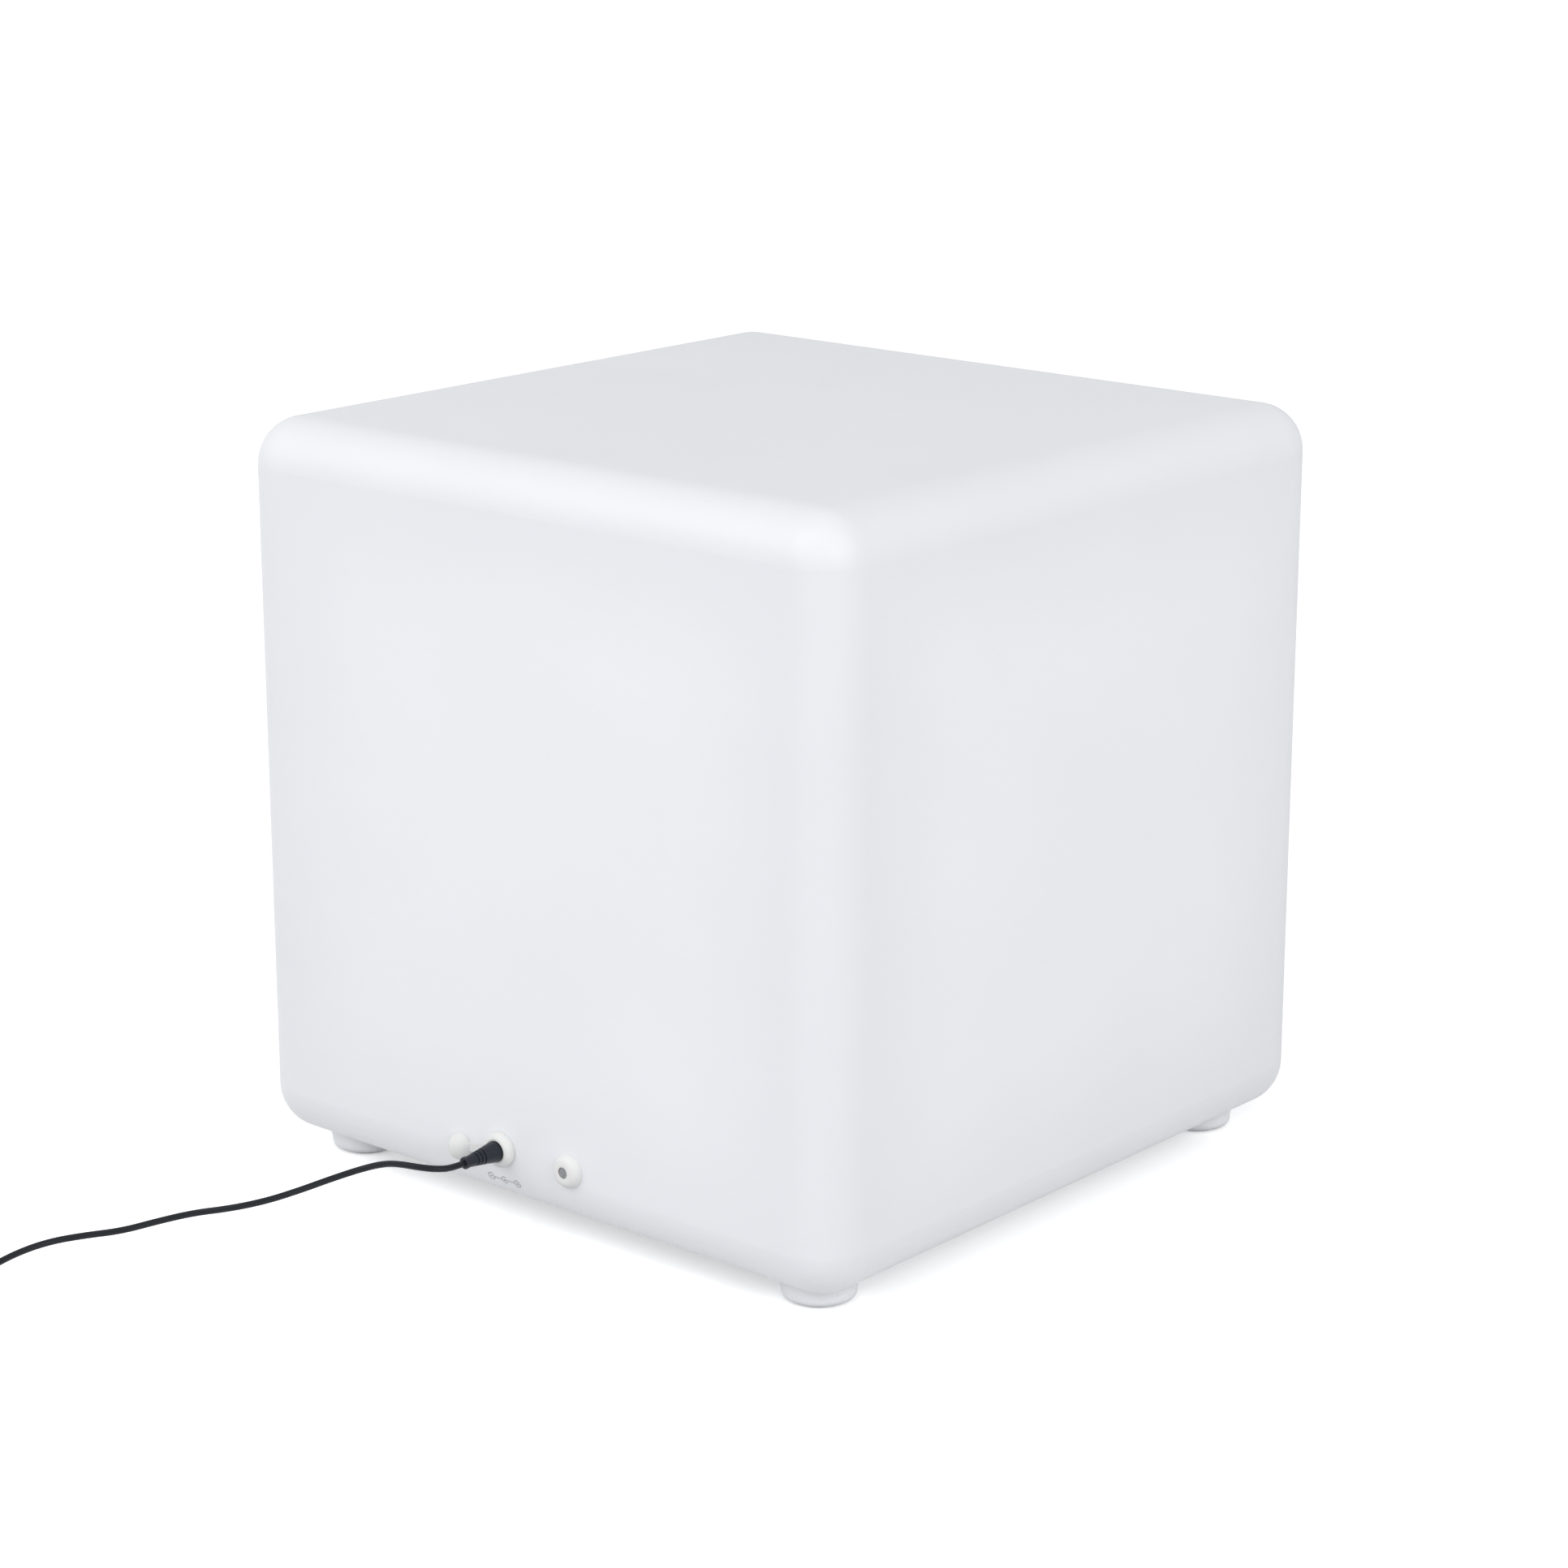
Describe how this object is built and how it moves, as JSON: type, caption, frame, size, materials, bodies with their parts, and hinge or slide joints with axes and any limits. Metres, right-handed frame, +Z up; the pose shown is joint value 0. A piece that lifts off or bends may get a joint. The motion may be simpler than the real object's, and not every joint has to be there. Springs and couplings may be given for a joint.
{
  "type": "led cube light",
  "caption": "Rechargeable hollow white plastic light cube with rounded edges, a lamp under a base hatch, a push button, and a charging lead plugged into a capped side jack.",
  "frame": {"origin": "on the ground under the middle of the cube", "axes": "+Z up; -Y is the face with the charging jack and the button; +X is that face's right side seen from in front"},
  "size_m": [0.524, 0.709, 0.4],
  "materials": {
    "translucent_white": "satin rotomoulded polyethylene",
    "grey_rubber": "matt",
    "brass": "turned",
    "black_seal": "matt",
    "white_plastic": "satin",
    "bright_steel": "zinc plated",
    "tray_plastic": "satin",
    "cell_can": "satin",
    "nickel": "nickel plated",
    "blue_sleeve": "glossy shrink film",
    "black_foam": "matt",
    "board_green": "satin solder mask",
    "chip_black": "matt",
    "header_white": "glossy",
    "bare_aluminium": "satin",
    "board_white": "satin solder mask",
    "led_package": "glossy",
    "opal_cover": "satin",
    "wire_sheath": "satin",
    "black_housing": "satin",
    "white_silicone": "satin silicone",
    "grey_button": "satin",
    "charcoal_cord": "satin",
    "black_tie": "matt hook and loop",
    "black_adapter": "fine texture",
    "supply_green": "satin",
    "transformer_yellow": "satin tape"
  },
  "bodies": {
    "light_cube": {"body_shell": "translucent_white", "foot_pad_left_front": "grey_rubber", "foot_pad_left_rear": "grey_rubber", "foot_pad_right_front": "grey_rubber", "foot_pad_right_rear": "grey_rubber", "hatch_inserts": "brass", "hatch_gasket": "black_seal", "base_hatch": "white_plastic", "hatch_screws": "bright_steel", "battery_cradle": "tray_plastic", "battery_cell_left": "cell_can", "battery_cell_right": "cell_can", "battery_strips": "nickel", "battery_sleeve": "blue_sleeve", "battery_foam": "black_foam", "control_board": "board_green", "board_chips": "chip_black", "remote_receiver": "chip_black", "wire_headers": "header_white", "heat_plate": "bare_aluminium", "lamp_board": "board_white", "lamp_screws": "bright_steel", "leds": "led_package", "lamp_cover": "opal_cover", "jack_wires": "wire_sheath", "switch_wires": "wire_sheath", "lamp_wires": "wire_sheath", "battery_wires": "wire_sheath", "jack_housing": "black_housing", "jack_pin": "nickel", "jack_lugs": "nickel", "panel_gaskets": "black_seal", "panel_washers": "nickel", "panel_nuts": "nickel", "switch_housing": "black_housing", "switch_lugs": "nickel", "button_boot": "white_silicone", "button_spring": "bright_steel"},
    "power_button": {"button_plunger": "grey_button"},
    "seal_cap": {"tethered_seal_cap": "white_silicone"},
    "charging_lead": {"plug_barrel": "nickel", "plug_insulator": "black_housing", "plug_contact": "nickel", "plug_grip": "charcoal_cord", "cord_run": "charcoal_cord", "cord_coil": "charcoal_cord", "coil_tie": "black_tie", "cord_tail": "charcoal_cord", "adapter_housing": "black_adapter", "adapter_face": "black_adapter", "adapter_pins": "nickel", "adapter_strain_relief": "charcoal_cord", "supply_board": "supply_green", "supply_transformer": "transformer_yellow"}
  },
  "joints": [
    {"name": "power_button_press", "type": "slide", "parent": "light_cube", "child": "power_button", "axis": [0, 1, 0], "range_m": [0, 0.0012], "stiffness_N_per_m": 400, "springref_m": -0.002, "deforming": ["button_spring"]},
    {"name": "seal_cap_turn", "type": "hinge", "parent": "light_cube", "child": "seal_cap", "pos_m": [-0.018, -0.2, 0.044], "axis": [0, 1, 0], "continuous": true},
    {"name": "plug_pull", "type": "slide", "parent": "light_cube", "child": "charging_lead", "axis": [0, -1, 0], "range_m": [0, 0.014]}
  ]
}
